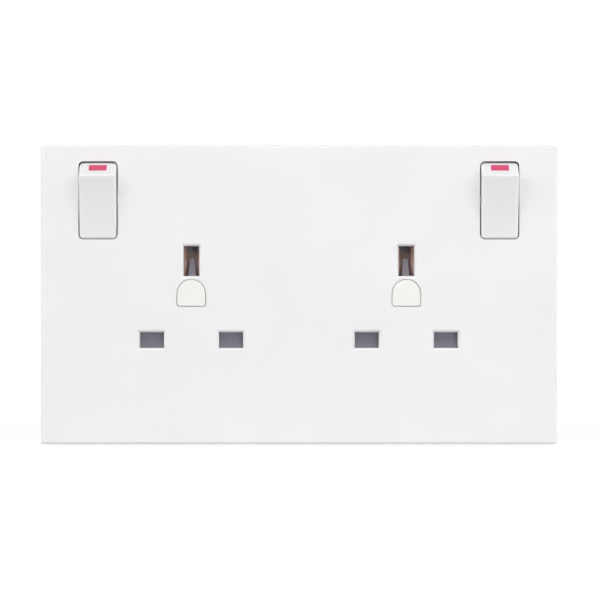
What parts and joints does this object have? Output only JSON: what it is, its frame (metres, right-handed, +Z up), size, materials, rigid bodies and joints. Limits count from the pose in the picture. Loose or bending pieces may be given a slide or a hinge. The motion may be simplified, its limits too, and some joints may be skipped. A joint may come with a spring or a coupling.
{
  "type": "switched converter socket",
  "caption": "White two-outlet switched wall socket with rectangular pin slots, rocker switches and capped fixing screws, wide enough to turn a one-outlet wall box into a double outlet.",
  "frame": {"origin": "centre of the two fixing holes, on the wall plane at the back of the plate's rim", "axes": "+X right and +Z up as seen from the front, +Y into the wall; the front face looks along -Y"},
  "size_m": [0.146, 0.0418, 0.085],
  "materials": {
    "white_plastic": "gloss",
    "cap_plastic": "gloss",
    "rocker_plastic": "gloss",
    "flag_red": "satin",
    "shutter_grey": "satin",
    "base_pale": "matte",
    "contact_brass": "satin",
    "screw_steel": "satin",
    "plunger_nylon": "satin"
  },
  "bodies": {
    "socket": {"front_plate": "white_plastic", "rear_base": "base_pale", "shutter_spring_left": "screw_steel", "shutter_spring_right": "screw_steel", "live_contact_left": "contact_brass", "live_contact_right": "contact_brass", "live_bar": "contact_brass", "neutral_bar": "contact_brass", "earth_bar": "contact_brass", "live_terminal": "contact_brass", "neutral_terminal": "contact_brass", "earth_terminal": "contact_brass", "terminal_screws": "screw_steel", "assembly_screws": "screw_steel"},
    "rocker_left_body": {"rocker_left": "rocker_plastic", "on_flag_left": "flag_red"},
    "plunger_left_body": {"plunger_left": "plunger_nylon", "plunger_spring_left": "screw_steel"},
    "seesaw_left_body": {"seesaw_contact_left": "contact_brass"},
    "shutter_left_body": {"shutter_left": "shutter_grey"},
    "cap_left_body": {"screw_cap_left": "cap_plastic"},
    "rocker_right_body": {"rocker_right": "rocker_plastic", "on_flag_right": "flag_red"},
    "plunger_right_body": {"plunger_right": "plunger_nylon", "plunger_spring_right": "screw_steel"},
    "seesaw_right_body": {"seesaw_contact_right": "contact_brass"},
    "shutter_right_body": {"shutter_right": "shutter_grey"},
    "cap_right_body": {"screw_cap_right": "cap_plastic"}
  },
  "joints": [
    {"name": "rocker_left_press", "type": "hinge", "parent": "socket", "child": "rocker_left_body", "pos_m": [-0.0563, -0.0233, 0.0264], "axis": [-1, 0, 0], "range_deg": [0, 24]},
    {"name": "seesaw_left_tip", "type": "hinge", "parent": "socket", "child": "seesaw_left_body", "pos_m": [-0.0563, -0.0141, 0.0264], "axis": [-1, 0, 0], "range_deg": [-24, 0]},
    {"name": "plunger_left_slide", "type": "slide", "parent": "rocker_left_body", "child": "plunger_left_body", "axis": [0, -0.9781, -0.2079], "range_m": [0, 0.0004], "stiffness_N_per_m": 300},
    {"name": "shutter_left_drop", "type": "slide", "parent": "socket", "child": "shutter_left_body", "axis": [0, 0, -1], "range_m": [0, 0.0052], "stiffness_N_per_m": 200, "deforming": ["shutter_spring_left"]},
    {"name": "cap_left_pull", "type": "slide", "parent": "socket", "child": "cap_left_body", "axis": [0, -1, 0], "range_m": [0, 0.012]},
    {"name": "rocker_right_press", "type": "hinge", "parent": "socket", "child": "rocker_right_body", "pos_m": [0.0563, -0.0233, 0.0264], "axis": [-1, 0, 0], "range_deg": [0, 24]},
    {"name": "seesaw_right_tip", "type": "hinge", "parent": "socket", "child": "seesaw_right_body", "pos_m": [0.0563, -0.0141, 0.0264], "axis": [-1, 0, 0], "range_deg": [-24, 0]},
    {"name": "plunger_right_slide", "type": "slide", "parent": "rocker_right_body", "child": "plunger_right_body", "axis": [0, -0.9781, -0.2079], "range_m": [0, 0.0004], "stiffness_N_per_m": 300},
    {"name": "shutter_right_drop", "type": "slide", "parent": "socket", "child": "shutter_right_body", "axis": [0, 0, -1], "range_m": [0, 0.0052], "stiffness_N_per_m": 200, "deforming": ["shutter_spring_right"]},
    {"name": "cap_right_pull", "type": "slide", "parent": "socket", "child": "cap_right_body", "axis": [0, -1, 0], "range_m": [0, 0.012]}
  ],
  "couplings": [
    {"joint": "seesaw_left_tip", "follows": "rocker_left_press", "ratio": -1},
    {"joint": "seesaw_right_tip", "follows": "rocker_right_press", "ratio": -1}
  ]
}
